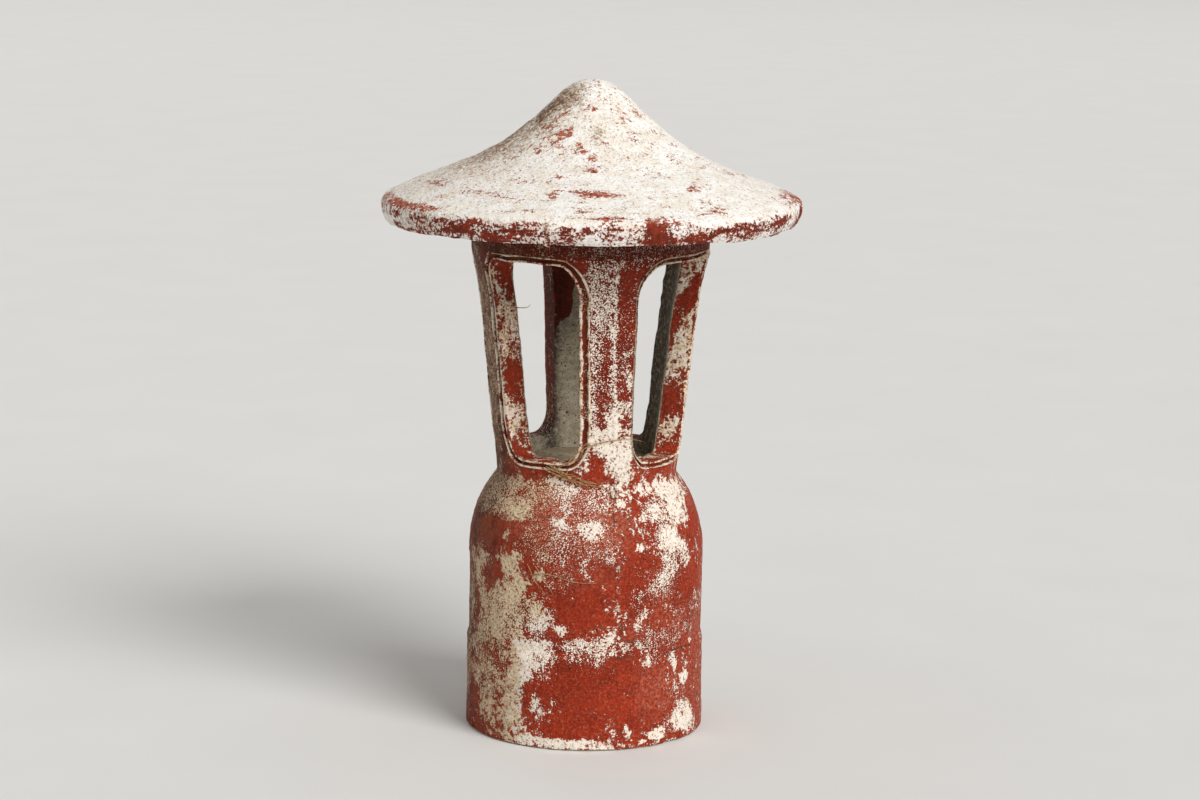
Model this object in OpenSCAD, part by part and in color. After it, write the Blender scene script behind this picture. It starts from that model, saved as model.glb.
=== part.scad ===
// Painted cast-cement garden lantern: a hollow two-part body with four lined windows,
// and a loose hat-shaped roof that lifts straight off. Millimetres, +Z up.
// The origin is at the middle of the foot's underside. The body's two halves meet
// at X = 0, in the middle of the front post (-Y) and of the back post (+Y).

/* [Body] */
// Height from the ground to the roof's peak
lantern_h = 475; // [460:1:490]
// Thickness of the pressed cement walls
wall = 18; // [15:0.5:20]
// Outer radius of the foot band
foot_r = 87.2; // [86.5:0.1:90]
// Height of the foot band
foot_h = 66; // [50:1:80]
// Outer radius of the barrel above the foot band
barrel_r = 85.6; // [84:0.1:86.4]
// Height at which the barrel starts to curve in to the shoulder
shoulder_z = 135; // [130:1:138]
// Radius of the shoulder's curve
shoulder_curve_r = 80; // [78:1:82]
// Angle over which the shoulder curves
shoulder_deg = 40.5; // [38:0.5:41]
// Width of the slurry joint between the two halves
seam_w = 3; // [2:0.5:5]
// How far the slurry joint stands proud of the wall
seam_proud = 0.5; // [0.2:0.1:1]

/* [Light chamber] */
// Height of the neck, the narrowest place
neck_z = 190; // [189:1:192]
// Outer radius of the neck
neck_r = 65.6; // [64:0.2:67]
// Height at which the column starts to flare
flare_z = 305; // [295:1:310]
// Outer radius of the column where the flare starts
flare_start_r = 78; // [76:0.5:80]
// Radius of the flare's curve
flare_curve_r = 430; // [400:10:500]
// Height of the underside of the top ring
ring_z = 352; // [350:1:354]
// Height of the column's top face, which the roof rests on
seat_z = 382; // [380:1:384]
// Height of the chamber floor's upper face
floor_z = 196; // [194:1:198]
// Thickness of the chamber floor
floor_t = 14; // [12:1:15]

/* [Windows] */
// Half the angle that a window lining takes of the column
lining_half_deg = 31.5; // [30:0.5:33]
// Height of a lining's lower edge
lining_z0 = 200; // [198:1:202]
// Height of a lining's upper edge
lining_z1 = 355.5; // [352:0.5:357]
// Width of each of the lining's three steps, in degrees around the column, where it is even
step_deg = 1.45; // [1.2:0.05:1.6]
// Width of each step above and below the opening
step_h = 1.75; // [1.5:0.05:2]
// How far the outer lip stands proud of the column
lip_proud = 1.2; // [0.6:0.1:1.6]
// Depth of the groove between the two lips
groove_depth = 2.5; // [1:0.1:4]

/* [Roof] */
// Radius of the rim
rim_r = 152.9; // [151:0.1:156]
// Radius of the rounded peak
peak_curve_r = 31.8; // [29:0.1:34]
// Slope of the roof just below its peak
peak_deg = 43.3; // [42:0.1:44.5]
// Length of the straight slope below the peak
peak_slope_l = 27.4; // [25:0.1:30]
// Radius of the hollow curve between the peak and the brim
brim_curve_r = 171; // [165:1:178]
// Slope of the brim
brim_deg = 22; // [21:0.1:23]
// Radius of the rim's upper edge
rim_top_curve_r = 6.7; // [5:0.1:9]
// Radius of the rim's lower edge
rim_low_curve_r = 19; // [17:0.5:21]
// Angle over which the rim's lower edge turns under
rim_low_deg = 38.2; // [34:0.1:42]
// Outer radius of the flat ring that rests on the column
seat_r = 92; // [90:0.5:94]
// Outer radius of the locating ring under the roof
spigot_r = 64; // [62:0.5:65]
// Thickness of the locating ring
spigot_t = 8; // [7:0.5:10]
// How far the locating ring reaches down into the column
spigot_h = 12; // [8:1:14]
// How far the roof lifts, for reference in the assembly
roof_lift = 0; // [0:1:120]

/* [Reinforcement] */
// Thickness of the iron wires in the body
wire_d = 4; // [3:0.5:5]
// Angle between the seam and the wires beside it
wire_off_deg = 7; // [6:0.5:8]
// Radius of the post wires' circle at their lower end
wire_low_r = 55.1; // [54.8:0.1:56]
// Radius of the post wires' circle at their upper end
wire_high_r = 77.4; // [76:0.1:78]
// Height of the post wires' lower end
wire_z0 = 178; // [177:1:180]
// Height of the post wires' upper end
wire_z1 = 366; // [364:1:368]

/* [Hidden] */
$fn = 96;

far = 400;
eps = 0.01;
foot_chamfer = 1.2;
step_slope_h = 5;
arc_steps = 8;
flare_steps = 4;
flare_start_deg = atan((flare_start_r - neck_r) / (flare_z - neck_z));
flare_end_deg = asin(sin(flare_start_deg) + (ring_z - flare_z) / flare_curve_r);

// Points on an arc around c, with the angle measured from +X.
function arc(c, r, a0, a1, n) =
    [for (i = [0:n]) let (a = a0 + (a1 - a0) * i / n) c + r * [cos(a), sin(a)]];

// The lower, plain part of the body: foot band, barrel and shoulder.
function low_outer(d) = concat(
    [[foot_r - foot_chamfer + d, 0], [foot_r + d, foot_chamfer], [foot_r + d, foot_h],
     [barrel_r + d, foot_h + step_slope_h]],
    arc([barrel_r - shoulder_curve_r, shoulder_z], shoulder_curve_r + d, 0, shoulder_deg, arc_steps));

// The column and its flare, up to the top ring.
function high_outer(d) = let (
        a0 = flare_start_deg,
        c = [flare_start_r + flare_curve_r * cos(a0), flare_z - flare_curve_r * sin(a0)]
    ) concat(
        [[neck_r + d, neck_z]],
        arc(c, flare_curve_r - d, 180 - a0, 180 - flare_end_deg, flare_steps),
        [[c[0] - flare_curve_r * cos(flare_end_deg) + d, seat_z]]);

function outer(d) = concat(low_outer(d), high_outer(d));

function reversed(p) = [for (i = [len(p) - 1:-1:0]) p[i]];

inner_shoulder = arc([barrel_r - shoulder_curve_r, shoulder_z], shoulder_curve_r - wall,
                     0, shoulder_deg, arc_steps);
inner = concat([[barrel_r - wall, 0]], inner_shoulder, high_outer(-wall));

// The neck's inner radius at height z, just below and just above its narrowest place.
low_end = inner_shoulder[arc_steps];
neck_in = neck_r - wall;
function below_neck_r(z) = neck_in + (low_end[0] - neck_in) * (neck_z - z) / (neck_z - low_end[1]);
function above_neck_r(z) = neck_in + (z - neck_z) * tan(flare_start_deg);

// The windows were cut by hand, so no two are alike. Each is: direction, side on which the
// jointed post is, extra half angle there, share of the step width there, and the extra
// half angle beside the plain post.
front_left_window = [-135, 1, 0, 1.3, 0];
front_right_window = [-45, -1, 3, 0.35, 0.3];
back_left_window = [135, -1, 3, 0.45, 0];
back_right_window = [45, 1, 1.5, 0.8, 1.6];

// Rounded corners of a lining, as [angle, height]: low and high, beside the jointed post and
// beside the plain post.
joint_corners = [[14, 26], [17, 29]];
plain_corners = [[18, 40], [12, 20]];

// A window's outline as [angle, height] pairs, counter-clockwise, shrunk by some steps.
function window_outline(window, steps) =
    [for (q = [[1, 0, -90], [1, 1, 0], [-1, 1, 90], [-1, 0, 180]], i = [0:6])
        let (
            at_joint = q[0] == window[1],
            shrink = steps * step_deg * (at_joint ? window[3] : 1),
            h = lining_half_deg + (at_joint ? window[2] : window[4]) - shrink,
            corner = (at_joint ? joint_corners : plain_corners)[q[1]] - [shrink, steps * step_h],
            z = q[1] == 1 ? lining_z1 - steps * step_h - corner[1] : lining_z0 + steps * step_h + corner[1],
            a = q[2] + i * 15
        )
        [q[0] * (h - corner[0]) + corner[0] * cos(a), z + corner[1] * sin(a)]];

// A window as a solid: every side of it points at the lantern's axis.
module window_plug(window, steps) {
    near_d = 20;
    far_d = 96;
    outline = window_outline(window, steps);
    n = len(outline);
    points = [for (d = [near_d, far_d], p = outline) [d, d * tan(p[0]), p[1]]];
    sides = [for (i = [0:n - 1], second = [0, 1])
        let (j = (i + 1) % n) second == 0 ? [i, n + i, n + j] : [i, n + j, j]];
    rotate([0, 0, window[0]])
        polyhedron(points, concat([[for (i = [0:n - 1]) i]], sides, [[for (i = [n - 1:-1:0]) n + i]]));
}

module body_wall(proud) {
    rotate_extrude() polygon(concat(outer(proud), reversed(inner)));
}

// Everything inside the column's outer face, moved out by d.
module column_core(d) {
    rotate_extrude() polygon(concat([[0, neck_z]], high_outer(d), [[0, seat_z]]));
}

module half_space(side) {
    translate([side > 0 ? seam_w / 2 : -far - seam_w / 2, -far / 2, -far / 4])
        cube([far, far, 2 * far]);
}

module post_wire(deg) {
    lean = atan((wire_high_r - wire_low_r) / (wire_z1 - wire_z0));
    length = (wire_z1 - wire_z0) / cos(lean);
    rotate([0, 0, deg]) translate([wire_low_r, 0, wire_z0]) rotate([0, lean, 0])
        cylinder(d = wire_d, h = length, $fn = 24);
}

module post_wires(side) {
    middle = side > 0 ? 0 : 180;
    post_wire(middle);
    post_wire(-90 + side * wire_off_deg);
    post_wire(90 - side * wire_off_deg);
}

// The radius of the post wires' circle at height z.
function wire_r_at(z) = wire_low_r + (wire_high_r - wire_low_r) * (z - wire_z0) / (wire_z1 - wire_z0);

tie = wire_d - 0.1;
top_hoop_z = 362;
neck_hoop_z = 184;
top_hoop_r = wire_r_at(top_hoop_z) - tie;
neck_hoop_r = wire_r_at(neck_hoop_z) + tie;

module half_hoop(side, r, z) {
    intersection() {
        translate([0, 0, z]) rotate_extrude() translate([r, 0]) circle(d = wire_d, $fn = 24);
        half_space(side);
    }
}

module body_shell(side) {
    difference() {
        intersection() {
            body_wall(0);
            half_space(side);
        }
        window_plug(side > 0 ? front_right_window : front_left_window, 0);
        window_plug(side > 0 ? back_right_window : back_left_window, 0);
        post_wires(side);
        half_hoop(side, top_hoop_r, top_hoop_z);
        half_hoop(side, neck_hoop_r, neck_hoop_z);
    }
}

module seam_joint(side) {
    intersection() {
        body_wall(seam_proud);
        translate([-seam_w / 2, side > 0 ? 0 : -far, -eps]) cube([seam_w, far, seat_z + 2 * eps]);
    }
}

// The stepped surround of one window: outer lip, groove, inner lip and reveal.
module window_lining(window) {
    difference() {
        intersection() {
            body_wall(lip_proud);
            window_plug(window, 0);
        }
        window_plug(window, 3);
        difference() {
            window_plug(window, 2);
            column_core(0);
        }
        difference() {
            window_plug(window, 1);
            window_plug(window, 2);
            column_core(-groove_depth);
        }
    }
}

module chamber_floor() {
    z0 = floor_z - floor_t;
    color("gray") rotate_extrude()
        polygon([[0, z0], [below_neck_r(z0), z0], [neck_in, neck_z],
                 [above_neck_r(floor_z), floor_z], [0, floor_z]]);
}

// The roof's outer face from the peak out to the rim's lower edge, moved in by d.
peak_c = [0, lantern_h - peak_curve_r];
slope_start = peak_c + peak_curve_r * [sin(peak_deg), cos(peak_deg)];
slope_end = slope_start + peak_slope_l * [cos(peak_deg), -sin(peak_deg)];
brim_c = slope_end + brim_curve_r * [sin(peak_deg), cos(peak_deg)];
brim_start = brim_c - brim_curve_r * [sin(brim_deg), cos(brim_deg)];
rim_edge_r = rim_r - rim_top_curve_r;
brim_end_r = rim_edge_r + rim_top_curve_r * sin(brim_deg);
rim_top_c = [rim_edge_r, brim_start[1] - (brim_end_r - brim_start[0]) * tan(brim_deg)
                         - rim_top_curve_r * cos(brim_deg)];
rim_low_c = [rim_r - rim_low_curve_r, rim_top_c[1]];
rim_low = rim_low_c + rim_low_curve_r * [cos(rim_low_deg), -sin(rim_low_deg)];
rim_lip = 3;
hollow_start = [rim_low[0] - rim_lip, rim_low[1]];
hollow_end = [seat_r, hollow_start[1] + (hollow_start[0] - seat_r) * tan(brim_deg)];
spigot_in = spigot_r - spigot_t;
dome_end_deg = asin((brim_c[0] - spigot_in) / (brim_curve_r + wall));

roof_outline = concat(
    arc(peak_c, peak_curve_r, 90, 90 - peak_deg, arc_steps),
    arc(brim_c, brim_curve_r, 270 - peak_deg, 270 - brim_deg, arc_steps),
    arc(rim_top_c, rim_top_curve_r, 90 - brim_deg, 0, arc_steps),
    arc(rim_low_c, rim_low_curve_r, -rim_low_deg / 4, -rim_low_deg, 3),
    [hollow_start, hollow_end, [seat_r, seat_z], [spigot_r, seat_z], [spigot_r, seat_z - spigot_h],
     [spigot_in, seat_z - spigot_h]],
    arc(brim_c, brim_curve_r + wall, 270 - dome_end_deg, 270 - peak_deg, arc_steps),
    arc(peak_c, peak_curve_r - wall, 90 - peak_deg, 90, arc_steps));

module body_shell_left() { color("indianred") body_shell(-1); }
module body_shell_right() { color("indianred") body_shell(1); }
module seam_joint_front() { color("tan") seam_joint(-1); }
module seam_joint_back() { color("tan") seam_joint(1); }
module window_lining_front_left() { color("linen") window_lining(front_left_window); }
module window_lining_front_right() { color("linen") window_lining(front_right_window); }
module window_lining_back_left() { color("linen") window_lining(back_left_window); }
module window_lining_back_right() { color("linen") window_lining(back_right_window); }
module post_wires_left() { color("saddlebrown") post_wires(-1); }
module post_wires_right() { color("saddlebrown") post_wires(1); }

module top_hoops() {
    color("saddlebrown") for (side = [-1, 1]) half_hoop(side, top_hoop_r, top_hoop_z);
}

module neck_hoops() {
    color("saddlebrown") for (side = [-1, 1]) half_hoop(side, neck_hoop_r, neck_hoop_z);
}

module roof() {
    color("antiquewhite") translate([0, 0, roof_lift]) rotate_extrude() polygon(roof_outline);
}

body_shell_left();
body_shell_right();
seam_joint_front();
seam_joint_back();
window_lining_front_left();
window_lining_front_right();
window_lining_back_left();
window_lining_back_right();
chamber_floor();
post_wires_left();
post_wires_right();
top_hoops();
neck_hoops();
roof();
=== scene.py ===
"""Looks for a painted cast-cement garden lantern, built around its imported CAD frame.

Angles are degrees around the lantern's axis, from the front post at -Y towards +X.
Lengths are millimetres until a mesh is made, and metres after that.
"""
import math

import bmesh
import bpy
import numpy as np
from mathutils import Matrix, Vector


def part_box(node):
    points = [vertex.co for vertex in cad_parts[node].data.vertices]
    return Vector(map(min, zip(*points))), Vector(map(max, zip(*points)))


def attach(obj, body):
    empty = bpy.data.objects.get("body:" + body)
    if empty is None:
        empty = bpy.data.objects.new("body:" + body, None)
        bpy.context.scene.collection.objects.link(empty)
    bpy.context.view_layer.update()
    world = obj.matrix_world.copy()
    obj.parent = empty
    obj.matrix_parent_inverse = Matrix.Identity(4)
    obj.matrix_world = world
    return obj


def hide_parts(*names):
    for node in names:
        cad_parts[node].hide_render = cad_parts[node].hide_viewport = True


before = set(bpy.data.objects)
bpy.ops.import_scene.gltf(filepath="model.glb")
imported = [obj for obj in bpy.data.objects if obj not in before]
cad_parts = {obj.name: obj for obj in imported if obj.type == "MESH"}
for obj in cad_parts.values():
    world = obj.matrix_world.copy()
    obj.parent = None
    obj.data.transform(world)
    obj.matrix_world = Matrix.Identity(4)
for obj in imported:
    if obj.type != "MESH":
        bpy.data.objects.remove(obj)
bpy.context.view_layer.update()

MM = 0.001


def mm_box(node):
    """Lowest and highest corners of a CAD node, in millimetres."""
    low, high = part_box(node)
    return np.array(low) / MM, np.array(high) / MM


# ---- sizes

ROOF_LOW, ROOF_HIGH = mm_box("roof")
SHELL_LOW, SHELL_HIGH = mm_box("body_shell_right")
FLOOR_LOW, FLOOR_HIGH = mm_box("chamber_floor")
LANTERN_H = ROOF_HIGH[2]
RIM_R = ROOF_HIGH[0]
SEAT_Z = SHELL_HIGH[2]
FOOT_R = SHELL_HIGH[1]
SEAM_HALF = SHELL_LOW[0]
WALL = 18.0
FOOT_H = 66.0
FOOT_CHAMFER = 1.2
BARREL_R = FOOT_R - 1.6
SHOULDER_Z, SHOULDER_CURVE_R, SHOULDER_DEG = 135.0, 80.0, 40.5
NECK_Z, NECK_R = 190.0, 65.6
FLARE_Z, FLARE_START_R, FLARE_CURVE_R = 305.0, 78.0, 430.0
RING_Z = 352.0
LINING_HALF_DEG = 31.5
LINING_Z0, LINING_Z1 = 200.0, 355.5
STEP_DEG, STEP_H = 1.45, 1.75
GRAIN = 1.35  # spacing of the mesh points on the surfaces that show
HALF_COLUMNS, SEAM_COLUMNS, FLOOR_COLUMNS, ROOF_COLUMNS = 200, 8, 150, 470
SEAM_PROUD = 0.1


def cos_d(a):
    return np.cos(np.radians(a))


def sin_d(a):
    return np.sin(np.radians(a))


def arc(centre, radius, a0, a1, step=GRAIN):
    """Points on an arc, angles from +r towards +z."""
    n = max(2, int(math.ceil(radius * math.radians(abs(a1 - a0)) / step)))
    a = np.linspace(a0, a1, n + 1)
    return np.stack([centre[0] + radius * cos_d(a), centre[1] + radius * sin_d(a)], 1)


def polyline(parts, step=GRAIN):
    """Joins points and arcs into one line, and splits its long straight stretches."""
    points = np.concatenate([np.atleast_2d(p) for p in parts])
    out = [points[:1]]
    for a, b in zip(points[:-1], points[1:]):
        n = max(1, int(math.ceil(np.hypot(*(b - a)) / step)))
        out.append(a + (b - a) * np.arange(1, n + 1)[:, None] / n)
    return np.concatenate(out)


FLARE_A0 = math.degrees(math.atan((FLARE_START_R - NECK_R) / (FLARE_Z - NECK_Z)))
FLARE_A1 = math.degrees(math.asin(sin_d(FLARE_A0) + (RING_Z - FLARE_Z) / FLARE_CURVE_R))
FLARE_C = (FLARE_START_R + FLARE_CURVE_R * cos_d(FLARE_A0), FLARE_Z - FLARE_CURVE_R * sin_d(FLARE_A0))
COLUMN_TOP_R = FLARE_C[0] - FLARE_CURVE_R * cos_d(FLARE_A1)
SHOULDER_C = (BARREL_R - SHOULDER_CURVE_R, SHOULDER_Z)


def column_side(d, step):
    """The column's face from the neck up, moved out by d."""
    return [(NECK_R + d, NECK_Z), arc(FLARE_C, FLARE_CURVE_R - d, 180 - FLARE_A0, 180 - FLARE_A1, step),
            (COLUMN_TOP_R + d, SEAT_Z)]


OUTER = polyline([
    (FOOT_R - FOOT_CHAMFER, 0), (FOOT_R, FOOT_CHAMFER), (FOOT_R, FOOT_H), (BARREL_R, FOOT_H + 5),
    arc(SHOULDER_C, SHOULDER_CURVE_R, 0, SHOULDER_DEG), *column_side(0, GRAIN)])
INNER = polyline([
    (BARREL_R - WALL, 0), arc(SHOULDER_C, SHOULDER_CURVE_R - WALL, 0, SHOULDER_DEG),
    *column_side(-WALL, GRAIN * 2)], GRAIN * 2)


def r_out(z):
    return np.interp(z, OUTER[:, 1], OUTER[:, 0])


def r_in(z):
    return np.interp(z, INNER[:, 1], INNER[:, 0])


# ---- noise

def lattice(i, j, k, seed):
    """A repeatable number from -1 to 1 for each lattice point."""
    mask = np.uint64(0xFFFFFFFF)
    n = (i.astype(np.uint64) * np.uint64(374761393) + j.astype(np.uint64) * np.uint64(668265263)
         + k.astype(np.uint64) * np.uint64(2246822519) + np.uint64(seed * 3266489917 + 12345)) & mask
    n = ((n ^ (n >> np.uint64(13))) * np.uint64(1274126177)) & mask
    n = ((n ^ (n >> np.uint64(15))) * np.uint64(2654435761)) & mask
    n = n ^ (n >> np.uint64(16))
    return n.astype(float) / 2147483647.5 - 1


def noise(p, size, seed):
    """Smooth noise from -1 to 1 with features of that size; the seed only picks a field."""
    q = p / size + 1000.5
    cell = np.floor(q).astype(np.int64)
    f = q - cell
    f = f * f * f * (f * (f * 6 - 15) + 10)
    total = 0
    for dx in (0, 1):
        wx = f[:, 0] if dx else 1 - f[:, 0]
        for dy in (0, 1):
            wy = f[:, 1] if dy else 1 - f[:, 1]
            for dz in (0, 1):
                wz = f[:, 2] if dz else 1 - f[:, 2]
                corner = lattice(cell[:, 0] + dx, cell[:, 1] + dy, cell[:, 2] + dz, seed)
                total = total + wx * wy * wz * corner
    return total


def fractal(p, size, seed, octaves=3):
    """Several sizes of noise added up, still about -1 to 1."""
    total, weight = 0, 0
    for o in range(octaves):
        total = total + noise(p, size / 2 ** o, seed + o) * 0.55 ** o
        weight += 0.55 ** o
    return total / weight * 1.35


def smooth(x, lo, hi):
    t = np.clip((x - lo) / (hi - lo), 0, 1)
    return t * t * (3 - 2 * t)


def around(p):
    """Angle from the front post, height and radius of each point."""
    return np.degrees(np.arctan2(p[:, 0], -p[:, 1])), p[:, 2], np.hypot(p[:, 0], p[:, 1])


# ---- the hand-made shape

# The joint line wanders off the post's middle lower down: height, angle.
SEAM_LINE = ((0, 3.5), (110, 2.6), (150, 0.8), (185, 1.8), (215, 2.8), (300, 0.2), (382, -0.8))
# Size, amount and seed of each field that bends the pieces.
WARP = ((70, 1.0, 11), (24, 0.42, 21), (8, 0.2, 31), (3.2, 0.13, 41))


def seam_shift(phi, z):
    """How far the joint line is off the middle, in degrees, fading out sideways."""
    line = np.interp(z, *zip(*SEAM_LINE))
    return line * smooth(np.abs(phi), 24, 3)


def warp(p):
    """Uneven hand-pressed shape. The same field bends every piece, so joints stay closed."""
    move = np.zeros_like(p)
    for size, amount, seed in WARP:
        for axis in range(3):
            move[:, axis] += amount * noise(p, size, seed + axis * 7)
    move[:, 2] *= smooth(p[:, 2], 0, 8) * 0.7
    return move


def body_shape(p, outside):
    """Bends the body's points; outside is 1 on faces that are seen from outside."""
    phi, z, r = around(p)
    swing = np.radians(seam_shift(phi, z))
    ridge = np.exp(-(phi * np.radians(r) / 1.5) ** 2)
    lumps = noise(p * [0, 0, 1], 14, 71)
    relief = ridge * (0.25 + 0.45 * lumps)
    relief -= 1.3 * ridge * smooth(z, 160, 168) * smooth(z, 197, 190) * (0.6 + 0.4 * lumps)
    low_edge = noise(p * [1, 1, 0], 9, 81) + 0.6 * noise(p, 3.5, 82)
    relief -= smooth(z, 7, 0) * np.maximum(0, low_edge - 0.15) * 3.0
    pits = noise(p, 2.6, 91)
    relief -= smooth(pits, 0.55, 0.9) * 0.35
    bumps = noise(p, 5.5, 93)
    relief += smooth(bumps, 0.6, 0.95) * 0.35
    return p + outward(phi) * (relief * outside)[:, None] + sideways(phi) * (swing * r)[:, None] + warp(p)


# ---- meshes

def new_mesh(name, verts, faces):
    """A clean mesh object from millimetre points."""
    mesh = bpy.data.meshes.new(name)
    mesh.from_pydata((np.asarray(verts) * MM).tolist(), [], faces)
    bm = bmesh.new()
    bm.from_mesh(mesh)
    bmesh.ops.recalc_face_normals(bm, faces=bm.faces)
    bm.to_mesh(mesh)
    bm.free()
    obj = bpy.data.objects.new(name, mesh)
    bpy.context.scene.collection.objects.link(obj)
    return obj


def points_of(obj):
    co = np.zeros(len(obj.data.vertices) * 3)
    obj.data.vertices.foreach_get("co", co)
    return co.reshape(-1, 3) / MM


def set_points(obj, p):
    obj.data.vertices.foreach_set("co", (p * MM).ravel())
    obj.data.update()


def set_values(obj, **fields):
    """Stores one number of each name for each point, for the materials to read."""
    for name, values in fields.items():
        attribute = obj.data.attributes.new(name, "FLOAT", "POINT")
        attribute.data.foreach_set("value", np.asarray(values, dtype=np.float32))


def smooth_shade(obj, angle):
    obj.data.shade_smooth()
    obj.data.set_sharp_from_angle(angle=math.radians(angle))


def quads(rows, cols, close_rows, close_cols):
    """Faces of a grid whose point (i, j) is number i * cols + j."""
    i = np.arange(rows if close_rows else rows - 1)[:, None]
    j = np.arange(cols if close_cols else cols - 1)[None, :]
    i1, j1 = (i + 1) % rows, (j + 1) % cols
    corners = np.broadcast_arrays(i * cols + j, i1 * cols + j, i1 * cols + j1, i * cols + j1)
    return np.stack(corners, -1).reshape(-1, 4).tolist()


def points_at(phi, z, r):
    return np.stack([r * sin_d(phi), -r * cos_d(phi), z], -1)


def swept(section, phi):
    """Points of a half section at each row of angles round the axis."""
    r, z = section.T
    return points_at(phi, z + 0 * phi, r + 0 * phi).reshape(-1, 3)


def outward(phi):
    """Unit vectors away from the axis."""
    return np.stack([sin_d(phi), -cos_d(phi), np.zeros_like(phi)], 1)


def sideways(phi):
    """Unit vectors round the axis."""
    return np.stack([cos_d(phi), sin_d(phi), np.zeros_like(phi)], 1)


def wall_piece(name, proud, phi_start, phi_end, columns):
    """A closed stretch of the body's wall between two faces that may depend on the radius."""
    outer = OUTER + [proud, 0]
    loop = np.concatenate([outer, INNER[::-1]])
    a0, a1 = phi_start(loop[:, 0]), phi_end(loop[:, 0])
    p = swept(loop, a0 + (a1 - a0) * np.linspace(0, 1, columns)[:, None])
    k = len(loop)
    faces = quads(columns, k, False, True)
    faces += [list(range(k)), list(range((columns - 1) * k, columns * k))]
    return new_mesh(name, p, faces)


def seam_deg(r):
    return np.degrees(np.arcsin(SEAM_HALF / r))


# Each window: angle of its middle, side on which the jointed post is, extra half angle there,
# share of the step width there, and the extra half angle beside the plain post.
WINDOWS = {
    "front_left": (-45, 1, 0, 1.3, 0),
    "front_right": (45, -1, 3, 0.35, 0.3),
    "back_left": (-135, -1, 3, 0.45, 0),
    "back_right": (135, 1, 1.5, 0.8, 1.6),
}
# Rounded corners of a lining, (angle, height): low and high.
JOINT_CORNERS = ((14, 26), (17, 29))
PLAIN_CORNERS = ((18, 40), (12, 20))


def window_outline(window, steps, per_corner=14, upright=70, level=24):
    """A window's outline as (angle from its middle, height) pairs, shrunk by a number of steps."""
    _, joint_side, joint_more, joint_share, plain_more = window
    runs = []
    for side, top, first in ((1, 0, -90), (1, 1, 0), (-1, 1, 90), (-1, 0, 180)):
        at_joint = side == joint_side
        shrink = steps * STEP_DEG * (joint_share if at_joint else 1)
        half = LINING_HALF_DEG + (joint_more if at_joint else plain_more) - shrink
        corner = (JOINT_CORNERS if at_joint else PLAIN_CORNERS)[top]
        wide, high = corner[0] - shrink, corner[1] - steps * STEP_H
        centre_z = LINING_Z1 - steps * STEP_H - high if top else LINING_Z0 + steps * STEP_H + high
        a = np.linspace(first, first + 90, per_corner)
        runs.append(np.stack([side * (half - wide) + wide * cos_d(a), centre_z + high * sin_d(a)], 1))
    points = []
    for n, run in enumerate(runs):
        after = runs[(n + 1) % 4][0]
        count = level if n % 2 else upright
        t = np.arange(1, count)[:, None] / count
        points += [run, run[-1] + (after - run[-1]) * t]
    return np.concatenate(points)


def window_plug(name, window):
    """The solid that a window lining takes out of a half shell."""
    near, far = 22.0, 98.0
    ahead = np.array([sin_d(window[0]), -cos_d(window[0])])
    outline = window_outline(window, 0)
    dphi, z = outline.T
    rings = []
    for d in (near, far):
        across = d * np.tan(np.radians(dphi))
        rings.append(np.stack([d * ahead[0] - across * ahead[1], d * ahead[1] + across * ahead[0], z], 1))
    n = len(outline)
    faces = quads(2, n, False, True) + [list(range(n)), list(range(n, 2 * n))]
    return new_mesh(name, np.concatenate(rings), faces)


def cut(obj, cutters):
    """Takes the cutters out of obj and throws them away."""
    for cutter in cutters:
        modifier = obj.modifiers.new("cut", "BOOLEAN")
        modifier.operation = "DIFFERENCE"
        modifier.solver = "MANIFOLD"
        modifier.object = cutter
    graph = bpy.context.evaluated_depsgraph_get()
    mesh = bpy.data.meshes.new_from_object(obj.evaluated_get(graph))
    obj.modifiers.clear()
    obj.data = mesh
    for cutter in cutters:
        bpy.data.objects.remove(cutter)


def lining_section():
    """From the outer wall round over the lips, down the reveal and back behind. Each point:
    steps in from the outer edge, share of the way to the inner face, rise, waver in steps."""
    lips = [(0, 0, 0, 0), (0, 0, 0.6, 0), (0.1, 0, 0.95, 0), (0.28, 0, 1.1, 0.2), (0.46, 0, 0.9, 0.3),
            (0.58, 0, 0.2, 0.4), (0.66, 0, -0.7, 0.4), (0.8, 0, -1.3, 0.4), (1.05, 0, -1.7, 0.3),
            (1.35, 0, -1.9, 0.3), (1.65, 0, -1.7, 0.3), (1.88, 0, -1.0, 0.35), (2.02, 0, -0.3, 0.35),
            (2.2, 0, 0.1, 0.3), (2.5, 0, 0.25, 0.3), (2.78, 0, 0.0, 0.3), (2.95, 0, -0.6, 0.3)]
    reveal = [(3.0 + 0.2 * w, w, 0, 0.3 + 0.6 * w ** 3) for w in np.linspace(0.06, 0.98, 15)]
    back = [(2.9, 1, 0, 0.9), (2.0, 1, 0, 0.3), (1.0, 1, 0, 0), (0, 1, 0, 0), (0, 0.75, 0, 0),
            (0, 0.5, 0, 0), (0, 0.25, 0, 0)]
    return lips + reveal + back


def window_lining(name, window):
    section = lining_section()
    middle_r = 80.0
    outer = window_outline(window, 0)
    per_step = window_outline(window, 1) - outer
    rings = []
    for steps, share, rise, waver in section:
        phi, z = window[0] + outer[:, 0], outer[:, 1]
        trial = points_at(phi, z + 15 * share, middle_r)
        wave = noise(trial, 13, 601) * 0.7 + noise(trial, 4.5, 603) * 0.6
        at = outer + per_step * (steps + waver * wave)[:, None]
        phi, z = window[0] + at[:, 0], at[:, 1]
        r = (1 - share) * (r_out(z) + rise) + share * r_in(z)
        rings.append(points_at(phi, z, r))
    n = len(outer)
    obj = new_mesh(name, np.concatenate(rings), quads(len(section), n, True, True))
    steps = np.repeat([s[0] for s in section], n)
    share = np.repeat([s[1] for s in section], n)
    return obj, steps, share


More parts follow.
